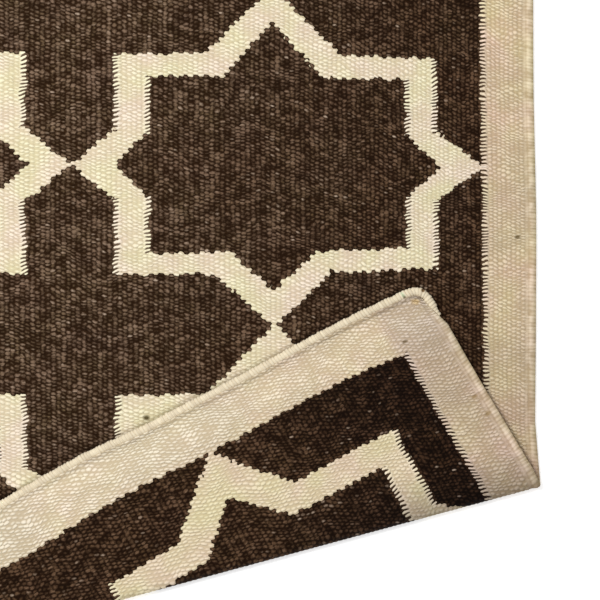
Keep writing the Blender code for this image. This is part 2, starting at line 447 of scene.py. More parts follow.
def smooth_step(place, start, end):
    """Goes smoothly from 0 to 1 as a place goes from start to end."""
    step = weave.nodes.new("ShaderNodeMapRange")
    step.interpolation_type = "SMOOTHSTEP"
    join(place, step.inputs["Value"])
    step.inputs["From Min"].default_value = start
    step.inputs["From Max"].default_value = end
    return step.outputs["Result"]


def uv_of(name):
    """Both parts of a UV map of the cloth."""
    source = weave.nodes.new("ShaderNodeUVMap")
    source.uv_map = name
    parts = weave.nodes.new("ShaderNodeSeparateXYZ")
    join(source.outputs["UV"], parts.inputs[0])
    return parts.outputs["X"], parts.outputs["Y"]


rib_place, knuckle_place = uv_of("weave")
chart_place, signed_width = uv_of("chart")
rib_width = calc("ABSOLUTE", signed_width)
facing = calc("SIGN", signed_width)
on_back = calc("LESS_THAN", signed_width, 0.0)

# Each rib carries a row of knuckles, half a knuckle on from its neighbours'. A place belongs
# to the nearest knuckle, on its own rib or the next one, so that colours meet round a knuckle.
BEATING = 0.7
UNEVEN_BEATING = 0.75
UNEVEN_PITCH = 2.6
UNEVEN_RIBS = 0.45
LEAN = 0.12
JITTER = 0.30
ROUNDNESS = 1.2
wavy_rib = calc("MULTIPLY_ADD", cloud(4.0, 7.0, 1.0, 70.0), UNEVEN_RIBS, rib_place)
rib_index = calc("FLOOR", wavy_rib)
odd = calc("MODULO", rib_index, 2.0)
aside = calc("SUBTRACT", calc("FRACT", wavy_rib), 0.5)
next_side = calc("SIGN", aside)
beaten = calc("MULTIPLY_ADD", cloud(16.0, 28.0), BEATING, knuckle_place)
beaten = calc("MULTIPLY_ADD", cloud(2.6, 4.5, 1.0, 20.0), UNEVEN_BEATING, beaten)
packed = calc("MULTIPLY", cloud(9.0, 11.0, 1.0, 130.0), UNEVEN_PITCH)
beaten = calc("ADD", beaten, packed)
lean = calc("MULTIPLY", facing, LEAN)


def nearest_on_rib(rib, across, half_on):
    """The nearest knuckle of a rib: its middle, how far along it lies, how far in all, its luck."""
    level = calc("MULTIPLY_ADD", across, lean, beaten)
    half = calc("MULTIPLY", half_on, 0.5)
    middle = calc("SUBTRACT", calc("ADD", calc("FLOOR", calc("ADD", level, half)), 0.5), half)
    luck = random_of(rib, middle)
    along = calc("SUBTRACT", calc("MULTIPLY_ADD", luck, JITTER, level), middle)
    along = calc("SUBTRACT", along, JITTER / 2)
    along_squared = calc("MULTIPLY", along, along)
    spread = calc("MULTIPLY_ADD", along_squared, ROUNDNESS, calc("MULTIPLY", across, across))
    return middle, along, spread, luck


own_middle, own_along, own_spread, own_luck = nearest_on_rib(rib_index, aside, odd)
next_rib = calc("ADD", rib_index, next_side)
next_aside = calc("SUBTRACT", aside, next_side)
next_knuckle = nearest_on_rib(next_rib, next_aside, calc("SUBTRACT", 1.0, odd))
next_middle, next_along, next_spread, next_luck = next_knuckle
taken = calc("LESS_THAN", next_spread, own_spread)
off_rib = choose(taken, aside, next_aside)
off_knuckle = choose(taken, own_along, next_along)
cell_random = choose(taken, own_luck, next_luck)
other_random = calc("FRACT", calc("MULTIPLY", cell_random, 37.7))
cell_knuckle = choose(taken, own_middle, next_middle)
cell_rib = calc("ADD", calc("ADD", rib_index, 0.5), calc("MULTIPLY", taken, next_side))
packed_across = calc("MULTIPLY_ADD", cell_rib, 1 / 9, 130.0)
packed_along = calc("MULTIPLY", calc("SUBTRACT", cell_knuckle, packed), 1 / 11)
cell_packed = cloudy(packed_across, packed_along, 1.0)
charted_knuckle = calc("MULTIPLY_ADD", cell_packed, -UNEVEN_PITCH, cell_knuckle)
cell_square = calc("SUBTRACT", chart_place, calc("MULTIPLY", off_rib, rib_width))

# Where a colour meets another along a rib, the wefts of both turn back round one warp in
# turn, as slanted tongues. They need more than the lattice: a wave along the edge.
STAR_SLANT = (-0.33, 0.12)  # on the cloth's face and on its back
BORDER_SLANT = (0.05, -0.55)
BESIDE_BORDER = 77.0
TONGUE_REACH = 0.62
TONGUE_FULLNESS = 0.20
TONGUE_FADE = 1.5
from_cloth_middle = calc("ABSOLUTE", calc("SUBTRACT", chart_place, CHART_WIDTH / 2))
by_border = calc("GREATER_THAN", from_cloth_middle, BESIDE_BORDER)
tongue_slant = choose(by_border, choose(on_back, *STAR_SLANT), choose(on_back, *BORDER_SLANT))
tongue_level = calc("MULTIPLY_ADD", chart_place, tongue_slant, beaten)
tongue_level = calc("MULTIPLY_ADD", calc("SUBTRACT", other_random, 0.5), 0.12, tongue_level)
zigzag = calc("ABSOLUTE", calc("MULTIPLY_ADD", calc("FRACT", tongue_level), 4.0, -2.0))
zigzag = calc("SUBTRACT", 1.0 + TONGUE_FULLNESS, zigzag)
steep = calc("ABSOLUTE", zigzag, clamp=True)
tongue_form = calc("SQRT", calc("MULTIPLY", steep, calc("SUBTRACT", 2.0, steep)))
tongue_index = calc("FLOOR", tongue_level)
tongue_random = random_of(calc("FLOOR", calc("MULTIPLY", chart_place, 0.2)), tongue_index)
tongue_reach = calc("MULTIPLY_ADD", tongue_random, 0.70 * TONGUE_REACH, 0.60 * TONGUE_REACH)
tongues = calc("MULTIPLY", calc("MULTIPLY", calc("SIGN", zigzag), tongue_form), tongue_reach)
edge_wander = cloudy(calc("MULTIPLY", chart_place, 0.08), calc("MULTIPLY", beaten, 0.20))
edge_wander = calc("MULTIPLY", edge_wander, 1.3)

# The stars are blocks with a point on each side, in two columns: a cream band round a dark
# ground. Each line is one half of a row of stars, from the near end: where it starts, the
# middle of its stars, half the height of its block and of its ground, the end points of both
# (how far they reach, how far their tips lean, how wide they are to left and right), and half
# the height of both side points where they start.
HALF_ROWS = (
    (15.0, 62.0, 29.7, 22.6, (17.0, -1.95, 14.5, 11.5), (12.0, -3.20, 9.9, 9.1), 7.5, 6.6),
    (62.0, 62.0, 27.2, 19.4, (17.3, -0.65, 13.5, 13.5), (14.0, -0.65, 10.1, 10.1), 9.1, 8.0),
    (106.6, 148.0, 28.45, 23.05, (14.3, -0.65, 11.7, 11.5), (10.2, -0.65, 8.9, 8.7), 9.1, 8.0),
    (148.0, 148.0, 27.6, 21.95, (17.3, -0.65, 13.6, 13.6), (14.0, -0.65, 10.1, 10.1), 9.1, 8.0),
    (193.4, 235.7, 28.0, 22.6, (14.3, -0.65, 12.0, 12.0), (10.2, -0.65, 9.0, 9.0), 9.1, 8.0),
    (235.7, 235.7, 28.0, 22.6, (15.7, -0.65, 13.0, 13.0), (12.4, -0.65, 9.8, 9.8), 9.1, 8.0),
    (279.4, 321.7, 28.0, 22.6, (14.3, -0.65, 12.0, 12.0), (10.2, -0.65, 9.0, 9.0), 9.1, 8.0),
    (321.7, 321.7, 28.0, 22.6, (15.7, -0.65, 13.0, 13.0), (12.4, -0.65, 9.8, 9.8), 9.1, 8.0),
)
FIELD_END = 365.4
COLUMN_SPACING = 82
SIDE_TIP = 41.0  # squares from a star's middle to the tip of its side point
BLOCK_LEFT = 31.95
BLOCK_RIGHT = 31.45
SIDE_DROP = 0.55  # knuckles from a star's middle down to the tips of its side points
INNER_SIDE_TIP = 32.4
INNER_LEFT = 25.7
INNER_RIGHT = 26.15
LINK_SQUARES = 2.0
FIELD_HALF = 82.25


def by_row(pick):
    """A measure of the half rows of stars, at the knuckle's place along the rug."""
    value = pick(HALF_ROWS[0])
    for row, following in zip(HALF_ROWS, HALF_ROWS[1:]):
        step = pick(following) - pick(row)
        if step:
            reached = calc("GREATER_THAN", charted_knuckle, following[0])
            value = calc("MULTIPLY_ADD", reached, step, value)
    return value


right_star = calc("GREATER_THAN", cell_square, CHART_WIDTH / 2)
star_middle = calc("MULTIPLY_ADD", right_star, COLUMN_SPACING, (CHART_WIDTH - COLUMN_SPACING) / 2)
from_middle = calc("SUBTRACT", cell_square, star_middle)
off_middle = calc("ABSOLUTE", from_middle)
exactly_from_middle = calc("SUBTRACT", chart_place, star_middle)
to_right = calc("GREATER_THAN", exactly_from_middle, 0.0)
exactly_off = calc("ABSOLUTE", exactly_from_middle)
uneven_edge = cloudy(calc("MULTIPLY", cell_square, 0.05), calc("MULTIPLY", cell_knuckle, 0.05))
raised = calc("SUBTRACT", charted_knuckle, by_row(lambda row: row[1]))
raised = calc("MULTIPLY_ADD", uneven_edge, 0.8, raised)
off_centre = calc("ABSOLUTE", raised)
off_side_point = calc("ABSOLUTE", calc("ADD", raised, SIDE_DROP))


def star_inside(left, right, block, side_tip, side_start, point, way):
    """Above 0 inside a block with a point on each side, and where its tongues are."""
    to_side = calc("SUBTRACT", calc("MULTIPLY_ADD", to_right, right - left, left), exactly_off)
    to_side = calc("ADD", to_side, edge_wander)
    within_block = calc("SUBTRACT", by_row(block), off_centre)
    body = calc("MINIMUM", calc("MULTIPLY_ADD", tongues, way, to_side), within_block)
    start = by_row(side_start)
    slope = calc("DIVIDE", max(left, right) - side_tip, start)
    to_slope = calc("SUBTRACT", calc("MULTIPLY_ADD", off_side_point, slope, side_tip), off_middle)
    side = calc("MINIMUM", to_slope, calc("SUBTRACT", start, off_side_point))
    measures = [by_row(lambda row, k=k: point(row)[k]) for k in range(4)]
    reach, tip_lean, point_left, point_right = measures
    off_tip = calc("SUBTRACT", from_middle, tip_lean)
    half = choose(calc("GREATER_THAN", off_tip, 0.0), point_left, point_right)
    along_point = calc("SUBTRACT", 1.0, calc("DIVIDE", calc("ABSOLUTE", off_tip), half))
    end = calc("MULTIPLY_ADD", along_point, reach, within_block)
    end = calc("MINIMUM", end, along_point)
    past_point = calc("GREATER_THAN", off_side_point, start)
    in_side = calc("MULTIPLY", calc("GREATER_THAN", within_block, 0.0), past_point)
    near_side = calc("MULTIPLY_ADD", calc("ABSOLUTE", to_side), -TONGUE_FADE, 1.5, clamp=True)
    return calc("MAXIMUM", calc("MAXIMUM", body, side), end), calc("MULTIPLY", in_side, near_side)


outer, outer_tongues = star_inside(
    BLOCK_LEFT,
    BLOCK_RIGHT,
    lambda row: row[2],
    SIDE_TIP,
    lambda row: row[6],
    lambda row: row[4],
    1.0,
)
inner, inner_tongues = star_inside(
    INNER_LEFT,
    INNER_RIGHT,
    lambda row: row[3],
    INNER_SIDE_TIP,
    lambda row: row[7],
    lambda row: row[5],
    -1.0,
)
near_tip = calc("GREATER_THAN", off_middle, SIDE_TIP - LINK_SQUARES)
link = calc("MULTIPLY", near_tip, calc("LESS_THAN", off_side_point, 0.55))
band = calc("MULTIPLY", calc("GREATER_THAN", outer, 0.0), calc("LESS_THAN", inner, 0.0))
band = calc("MAXIMUM", band, link)
past_field = calc("SUBTRACT", from_cloth_middle, FIELD_HALF)
past_field = calc("MULTIPLY_ADD", edge_wander, 0.5, past_field)
beside = calc("GREATER_THAN", calc("ADD", past_field, tongues), 0.0)
wave = calc("COSINE", calc("MULTIPLY_ADD", chart_place, math.tau / 50, -135 * math.tau / 50))
before = calc("LESS_THAN", calc("MULTIPLY_ADD", wave, -0.35, charted_knuckle), HALF_ROWS[0][0])
after = calc("GREATER_THAN", charted_knuckle, FIELD_END)
at_ends = calc("MAXIMUM", before, after)
border = calc("MAXIMUM", beside, at_ends)
border_tongues = calc("MULTIPLY_ADD", calc("ABSOLUTE", past_field), -TONGUE_FADE, 1.5, clamp=True)
border_tongues = calc("MULTIPLY", border_tongues, calc("SUBTRACT", 1.0, at_ends))
in_tongues = calc("MAXIMUM", calc("MAXIMUM", outer_tongues, inner_tongues), border_tongues)
dark_field = calc("MULTIPLY", calc("SUBTRACT", 1.0, band), calc("SUBTRACT", 1.0, border))

# The form of a knuckle is a level oval, with a dark hollow where it dives under. The form makes the
# bump, and its hollow is also painted into the colour as shade. A tongue is longer, and the weft
# lies across a selvedge's cord in fine slanting lines.
KNUCKLE_HALF_WIDTH = (0.72, 0.60)  # in the pale wool, and in the dark wool
KNUCKLE_HALF_LENGTH = (0.38, 0.44)
SIDE_JITTER = 0.22
CORD_LINE_SLANT = 0.22
CORD_GROOVE = 1.42  # squares from a selvedge to the groove along the inside of its cord
twist = calc("MULTIPLY", calc("SUBTRACT", other_random, 0.4), 0.30)
off_crest = calc("MULTIPLY_ADD", calc("SUBTRACT", other_random, 0.5), SIDE_JITTER, off_rib)
leaning = calc("MULTIPLY_ADD", calc("MULTIPLY", twist, facing), off_crest, off_knuckle)
half_width = choose(dark_field, *KNUCKLE_HALF_WIDTH)
half_length = choose(dark_field, *KNUCKLE_HALF_LENGTH)
wide = calc("POWER", calc("DIVIDE", off_crest, half_width), 2.0)
long = calc("POWER", calc("DIVIDE", leaning, half_length), 2.0)
merged = calc("MULTIPLY_ADD", cloud(1.6, 6.0, 1.0, 310.0), 4.0, 0.95, clamp=True)
long = calc("MULTIPLY", long, calc("MAXIMUM", merged, choose(dark_field, 0.78, 0.42)))
relief = cloud(3.2, 3.6, 1.0, 210.0)
full = calc("MULTIPLY_ADD", cell_random, 0.55, 0.62)
full = calc("MULTIPLY_ADD", relief, 1.1, full)
speckle = cloudy(calc("MULTIPLY", rib_place, 1.9), calc("MULTIPLY", beaten, 2.3), 2.0)
full = calc("MULTIPLY_ADD", calc("MULTIPLY", speckle, dark_field), 1.5, full)
form = calc("SUBTRACT", full, calc("ADD", wide, long), clamp=True)
form = choose(in_tongues, form, tongue_form)
cord_level = calc("FRACT", calc("MULTIPLY_ADD", chart_place, CORD_LINE_SLANT, beaten))
cord_form = calc("SUBTRACT", 1.0, calc("ABSOLUTE", calc("MULTIPLY_ADD", cord_level, 2.0, -1.0)))
cord_lumps = cloudy(calc("MULTIPLY", chart_place, 0.55), calc("MULTIPLY", beaten, 0.38), 1.0)
cord_form = calc("MULTIPLY_ADD", calc("POWER", cord_form, 0.8), 0.60, 0.24)
cord_form = calc("MULTIPLY_ADD", cord_lumps, 1.9, cord_form, clamp=True)
past_cord = calc("SUBTRACT", from_cloth_middle, CHART_WIDTH / 2 - CORD_SQUARES - 0.3)
on_cord = calc("MULTIPLY", past_cord, 0.9, clamp=True)
past_whipping = calc("MULTIPLY_ADD", knuckle_place, 0.5, -4.2, clamp=True)
on_cord = calc("MULTIPLY", on_cord, past_whipping)
form = choose(on_cord, form, cord_form)
from_edge = calc("SUBTRACT", CHART_WIDTH / 2, from_cloth_middle)
off_groove = calc("ABSOLUTE", calc("SUBTRACT", from_edge, CORD_GROOVE))
groove = calc("MULTIPLY_ADD", off_groove, -3.4, 1.0, clamp=True)
groove = calc("MULTIPLY", groove, past_whipping)
form = calc("MULTIPLY_ADD", groove, -0.40, form, clamp=True)
fibres = cloudy(calc("MULTIPLY", rib_place, 2.2), calc("MULTIPLY", beaten, 9.0), 3.0)
height = calc("MULTIPLY_ADD", fibres, 0.35, form)
hollow = calc("SUBTRACT", 1.0, calc("MULTIPLY_ADD", fibres, 0.5, form), clamp=True)

# The wool: undyed yarn, never quite even, with a few pale hairs in the dark one
dashes = cloudy(calc("MULTIPLY", cell_rib, 0.42), calc("MULTIPLY", beaten, 2.3), 2.0)
dashes = calc("MULTIPLY_ADD", dashes, 6.0, -0.55, clamp=True)
patch = cloud(18.0, 22.0, 3.0)
tint = cloud(9.0, 11.0, 2.0, 40.0)
pale_hair = calc("MULTIPLY_ADD", other_random, 9.0, -8.0, clamp=True)
hair_rows = cloudy(calc("MULTIPLY", cell_rib, 0.11), calc("MULTIPLY", cell_knuckle, 0.45), 1.0)
pale_hair = calc("MULTIPLY", pale_hair, calc("MULTIPLY_ADD", hair_rows, 4.0, 0.30, clamp=True))
level_crest = calc("MULTIPLY", calc("MULTIPLY", off_knuckle, off_knuckle), -11.0)
crest = calc("ADD", level_crest, calc("MULTIPLY_ADD", wide, -0.9, 1.10), clamp=True)
pale_hair = calc("MULTIPLY", pale_hair, crest)

# The dark yarn came from more than one skein: it darkens to the right and to the near end,
# and most of all by the right selvedge of the turned back corner.
SECOND_SKEIN = (0.60, 0.51, 0.43)
THIRD_SKEIN = (0.43, 0.37, 0.34)
by_selvedge = calc("MULTIPLY_ADD", chart_place, 0.0135, -1.35)
by_near_end = calc("MULTIPLY_ADD", knuckle_place, -0.10, 7.0)
to_second = calc("MAXIMUM", by_selvedge, by_near_end)
to_second = calc("MULTIPLY_ADD", patch, 0.8, to_second, clamp=True)
to_third = calc("MULTIPLY_ADD", chart_place, 0.028, -3.75, clamp=True)
to_third = calc("MULTIPLY", to_third, on_back)
in_patch = calc("MULTIPLY_ADD", patch, 1.6, 0.5, clamp=True)
dark_wool = blend(in_patch, dyed(87, 66, 51), dyed(114, 89, 69))
in_tint = calc("MULTIPLY_ADD", tint, 1.8, 0.4, clamp=True)
dark_wool = blend(in_tint, dark_wool, dyed(102, 83, 55))
dark_wool = blend(calc("MULTIPLY", cell_random, 0.55), dark_wool, dyed(142, 118, 99))
dark_wool = blend(calc("MULTIPLY", dashes, 0.55), dark_wool, dyed(174, 152, 132))
dark_wool = tinted(to_second, dark_wool, SECOND_SKEIN)
dark_wool = tinted(to_third, dark_wool, THIRD_SKEIN)
dark_wool = blend(calc("MULTIPLY", pale_hair, 0.8), dark_wool, dyed(196, 176, 156))
in_tint = calc("MULTIPLY_ADD", tint, 2.8, 0.5, clamp=True)
cream_wool = blend(in_tint, dyed(244, 238, 204), dyed(247, 231, 214))
cream_wool = blend(calc("MULTIPLY", cell_random, 0.34), cream_wool, dyed(218, 201, 170))
in_tint = calc("MULTIPLY_ADD", tint, 3.2, 0.5, clamp=True)
beige_wool = blend(in_tint, dyed(241, 227, 188), dyed(242, 216, 196))
in_patch = calc("MULTIPLY_ADD", patch, 2.2, 0.4, clamp=True)
beige_wool = blend(in_patch, beige_wool, dyed(220, 205, 180))
beige_wool = blend(calc("MULTIPLY", cell_random, 0.40), beige_wool, dyed(208, 186, 152))
# Painted light: the beige is paler at the near end, more so away from the right corner, for the lit
# end of the turned back corner
at_near_end = calc("MULTIPLY_ADD", knuckle_place, -0.1, 2.2, clamp=True)
from_corner = calc("MULTIPLY_ADD", chart_place, -1 / 45, 168 / 45, clamp=True)
painted_end_light = calc("MULTIPLY_ADD", from_corner, 0.22, 0.22)
beige_wool = blend(at_near_end, beige_wool, blend(painted_end_light, beige_wool, dyed(255, 249, 232)))
colour = blend(border, blend(band, dark_wool, cream_wool), beige_wool)
# Painted shade: these tints darken the colour in the hollows between knuckles and tongues, and in
# the groove inside each cord
CREAM_HOLLOW_SHADE = (0.69, 0.645, 0.565)
BEIGE_HOLLOW_SHADE = (0.62, 0.565, 0.475)
DARK_HOLLOW_SHADE = (0.11, 0.066, 0.026)
pale_hollow_shade = blend(border, CREAM_HOLLOW_SHADE, BEIGE_HOLLOW_SHADE)
hollow_shade_tint = blend(dark_field, pale_hollow_shade, DARK_HOLLOW_SHADE)
dark_hollow = calc("POWER", hollow, 0.55)
shade = blend(choose(dark_field, hollow, dark_hollow), (1.0, 1.0, 1.0), hollow_shade_tint)
colour = blend(1.0, colour, shade, "MULTIPLY")

# The wool is greyer at the selvedges' edges. Painted shade: darker along the crease by the right
# selvedge, on the turned back corner and, as its shadow, on the face beside it.
EDGE_GREY = (0.84, 0.84, 0.72)
CREASE_SHADE = (0.56, 0.55, 0.57)
FACE_SHADOW = (0.74, 0.72, 0.72)
SIDE_SHADE = (0.88, 0.86, 0.92)
BAND_SOIL = (0.95, 0.92, 0.88)
by_right_edge = calc("MULTIPLY_ADD", chart_place, 1 / 30, -130 / 30, clamp=True)
at_edge = calc("MULTIPLY_ADD", from_cloth_middle, 1.2, 1.0 - 1.2 * CHART_WIDTH / 2, clamp=True)
at_edge = calc("MULTIPLY", at_edge, past_whipping)
colour = tinted(at_edge, colour, EDGE_GREY)
# Painted shade: the turned back corner darkens towards the crease by the right selvedge, where it
# curves away from the light
past_crease = calc("MULTIPLY_ADD", chart_place, 0.000856, 0.0053)
past_crease = calc("MULTIPLY_ADD", knuckle_place, -0.002478, past_crease)
shaded = calc("MULTIPLY_ADD", past_crease, -1.0 / 0.027, 0.036 / 0.027, clamp=True)
shaded = calc("MULTIPLY", calc("MULTIPLY", shaded, on_back), by_right_edge)
colour = tinted(shaded, colour, CREASE_SHADE)
# Painted shadow: the face darkens beside the crease by the right selvedge, under the turned back
# corner
shaded = calc("MULTIPLY_ADD", past_crease, 1.0 / 0.11, 1.0, clamp=True)
shaded = calc("MULTIPLY", calc("MULTIPLY", shaded, calc("SUBTRACT", 1.0, on_back)), by_right_edge)
colour = tinted(shaded, colour, FACE_SHADOW)
# Painted shade: the turned back corner's side border is darker, and less so on its cord's ridge
side_on_back = calc("MULTIPLY_ADD", chart_place, 0.5, -86.0, clamp=True)
on_ridge = calc("MULTIPLY_ADD", from_edge, -3.0, 3.0 * CORD_GROOVE, clamp=True)
side_on_back = calc("MULTIPLY", side_on_back, calc("MULTIPLY_ADD", on_ridge, -0.6, 1.0))
side_on_back = calc("MULTIPLY", side_on_back, on_back)
colour = tinted(side_on_back, colour, SIDE_SHADE)
pale_on_back = calc("MULTIPLY", band, on_back)
colour = tinted(pale_on_back, colour, BAND_SOIL)

# Painted shade in the groove between the cloth and the near end's whipping, and a painted shadow on
# the face along the turned back end. The fold mirrors that end about the crease.
WHIPPING_GROOVE_SHADE = (0.68, 0.66, 0.63)
GROOVE_KNUCKLES = 2.72  # from the near end to the middle of the groove
END_SHADOW = (0.66, 0.65, 0.63)
SHADOW_REACH = 0.0030
SHADOW_FADE = 0.006
# Painted shade: a darker line in the groove inside the near end's whipping, weaker away from the
# right corner
off_whipping = calc("ABSOLUTE", calc("ADD", knuckle_place, -GROOVE_KNUCKLES))
in_groove = calc("MULTIPLY_ADD", off_whipping, -1.6, 1.15, clamp=True)
in_groove = calc("MULTIPLY", in_groove, calc("MULTIPLY_ADD", from_corner, -0.42, 1.0))
colour = tinted(in_groove, colour, WHIPPING_GROOVE_SHADE)
# Painted shadow: the face darkens in a narrow line just beyond the turned back end, found by
# mirroring about the crease
lying_place = weave.nodes.new("ShaderNodeTexCoord").outputs["Object"]
split_place = weave.nodes.new("ShaderNodeSeparateXYZ")
join(lying_place, split_place.inputs[0])
place_x = split_place.outputs["X"]
place_y = split_place.outputs["Y"]
off_crease_x = calc("SUBTRACT", place_x, CREASE_POINT.x)
off_crease_y = calc("SUBTRACT", place_y, CREASE_POINT.y)
off_crease = calc("MULTIPLY", off_crease_y, TO_CORNER.y)
off_crease = calc("MULTIPLY_ADD", off_crease_x, TO_CORNER.x, off_crease)
mirrored_x = calc("MULTIPLY_ADD", off_crease, -2.0 * TO_CORNER.x, place_x)
mirrored_y = calc("MULTIPLY_ADD", off_crease, -2.0 * TO_CORNER.y, place_y)
bowed = calc("MULTIPLY", calc("MULTIPLY", mirrored_x, mirrored_x), -BOWS[0][1] / HALF_WIDTH ** 2)
past_end = calc("ADD", calc("SUBTRACT", mirrored_y, NEAR_END), bowed)
drawn_from, drawn_full, drawn_until, drawn_end = DRAWN_IN_PLACES
drawn_here = smooth_step(mirrored_x, drawn_from, drawn_full)
drawn_here = calc("MULTIPLY", drawn_here, smooth_step(mirrored_x, drawn_end, drawn_until))
past_end = calc("MULTIPLY_ADD", drawn_here, -DRAWN_IN, past_end)
shadowed = calc("MULTIPLY_ADD", past_end, 1.0 / SHADOW_REACH, 1.0, clamp=True)
shadowed = calc("MULTIPLY", shadowed, calc("SUBTRACT", 1.0, on_back))
to_side = calc("SUBTRACT", HALF_WIDTH, mirrored_x)
short_of_side = calc("MULTIPLY", to_side, 1.0 / SHADOW_FADE, clamp=True)
shadowed = calc("MULTIPLY", shadowed, short_of_side)
colour = tinted(shadowed, colour, END_SHADOW)

# A few specks caught in the spinning, and a yellow stain by the turned back corner: each has
# its place in chart squares and knuckles, its half width in squares, and its tint
SPECKS = (
    (180.4, 127.0, 0.45, (0.30, 0.27, 0.20)),
    (106.7, 83.3, 0.55, (0.16, 0.14, 0.09)),
    (175.3, 12.4, 0.45, (0.40, 0.36, 0.28)),
    (180.9, 3.7, 0.75, (1.0, 0.88, 0.60)),
    (182.1, 39.4, 0.55, (0.70, 0.64, 0.48)),
    (181.5, 34.0, 0.50, (0.74, 0.68, 0.54)),
)
for speck_square, speck_knuckle, size, speck_tint in SPECKS:
    off_x = calc("SUBTRACT", chart_place, speck_square)
    off_y = calc("SUBTRACT", knuckle_place, speck_knuckle)
    off = calc("SQRT", calc("ADD", calc("MULTIPLY", off_x, off_x), calc("MULTIPLY", off_y, off_y)))
    speck = calc("MULTIPLY_ADD", off, -1.0 / size, 1.6, clamp=True)
    colour = tinted(speck, colour, speck_tint)

join(colour, shader.inputs["Base Color"])
bump = weave.nodes.new("ShaderNodeBump")
bump.inputs["Strength"].default_value = 0.8
bump.inputs["Distance"].default_value = 0.0006
join(height, bump.inputs["Height"])
join(bump.outputs["Normal"], shader.inputs["Normal"])
shader.inputs["Roughness"].default_value = 0.92
shader.inputs["Specular IOR Level"].default_value = 0.08
shader.inputs["Sheen Weight"].default_value = 0.02
cloth_mesh.materials.append(wool)

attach(woven_cloth, "root")
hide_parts("rug_panel")


# The whipped ends
# Each end is overcast with plied cream wool: a stitch over the edge every 2 mm or so, side by
# side, round both corners and a little up the selvedges. The stitches make a slanting rope.
STITCH_PITCH = 0.0021
STITCH_YARN = 0.00125
STITCH_SLANT = math.radians(-12)
UNEVEN_SLANT = 0.10
SMALLEST_STITCH = 0.89  # shares of the full size
LARGEST_STITCH = 1.06
YARN_SPREAD = 1.75
LUMPINESS = 0.16
TAPERED_STEPS = 4
THINNER_ENDS = 0.12
ROUTE_STEP = 0.003
CORNER_STEPS = 8
CORE_SIDES = 10
CORE_SHARE = 0.82


def end_line(x, far):
    """The y of the rug's outer edge at its far or near end."""
    if far:
        return FAR_END + BOWS[-1][1] * (x / HALF_WIDTH) ** 2
    return NEAR_END + BOWS[0][1] * (x / HALF_WIDTH) ** 2 + drawn_in(x)


def rounded(before, corner, after):
    """The points of an arc that replaces the corner between two straight runs."""
    back = (before - corner).normalized()
    on = (after - corner).normalized()
    half = back.angle(on) / 2
    centre = corner + (back + on).normalized() * CORNER_RADIUS / math.sin(half)
    start = corner + back * CORNER_RADIUS / math.tan(half) - centre
    sweep = start.angle_signed(corner + on * CORNER_RADIUS / math.tan(half) - centre)
    turns = [Matrix.Rotation(-sweep * k / CORNER_STEPS, 2) for k in range(CORNER_STEPS + 1)]
    return [centre + turn @ start for turn in turns]


def whipping_route(far):
    """The middle line of a whipped end on the flat rug, from the left selvedge to the right one."""
    inward = -1 if far else 1
    half = WHIPPING_WIDTH / 2
    reach = CORNER_RADIUS * 1.3
    corner_y = end_line(HALF_WIDTH, far)
    left = read_table(WIDTHS, corner_y, 1) + half
    right = read_table(WIDTHS, corner_y, 4) - half
    rise = Vector((0.0, inward * (CORNER_RADIUS + WHIPPING_RETURN)))
    left_corner = Vector((left, end_line(left, far) + inward * half))
    right_corner = Vector((right, end_line(right, far) + inward * half))
    count = round((right - left - 2 * reach) / ROUTE_STEP)
    places = [left + reach + (right - left - 2 * reach) * k / count for k in range(count + 1)]
    run = [Vector((x, end_line(x, far) + inward * half)) for x in places]
    route = [left_corner + rise * (1 - k / 8) for k in range(4)]
    route += rounded(left_corner + rise, left_corner, run[0])
    route += run
    route += rounded(run[-1], right_corner, right_corner + rise)
    route += [right_corner + rise * (1 - k / 8) for k in reversed(range(4))]
    return route


yarn = bpy.data.materials.new("whipping_yarn")
yarn.use_nodes = True
yarn_nodes = yarn.node_tree.nodes
yarn_links = yarn.node_tree.links
yarn_shader = yarn_nodes["Principled BSDF"]
tone = yarn_nodes.new("ShaderNodeAttribute")
tone.attribute_name = "tone"
patches = yarn_nodes.new("ShaderNodeTexNoise")
patches.inputs["Scale"].default_value = 45.0
object_place = yarn_nodes.new("ShaderNodeTexCoord")
yarn_links.new(object_place.outputs["Object"], patches.inputs["Vector"])
tone_colour = yarn_nodes.new("ShaderNodeMix")
tone_colour.data_type = "RGBA"
tone_colour.inputs[6].default_value = (*dyed(240, 227, 198), 1.0)
tone_colour.inputs[7].default_value = (*dyed(205, 190, 163), 1.0)
yarn_links.new(tone.outputs["Fac"], tone_colour.inputs[0])
patch_colour = yarn_nodes.new("ShaderNodeMix")
patch_colour.data_type = "RGBA"
patch_colour.inputs[7].default_value = (*dyed(212, 198, 172), 1.0)
yarn_links.new(tone_colour.outputs[2], patch_colour.inputs[6])
yarn_links.new(patches.outputs["Fac"], patch_colour.inputs[0])
yarn_colour = patch_colour.outputs[2]

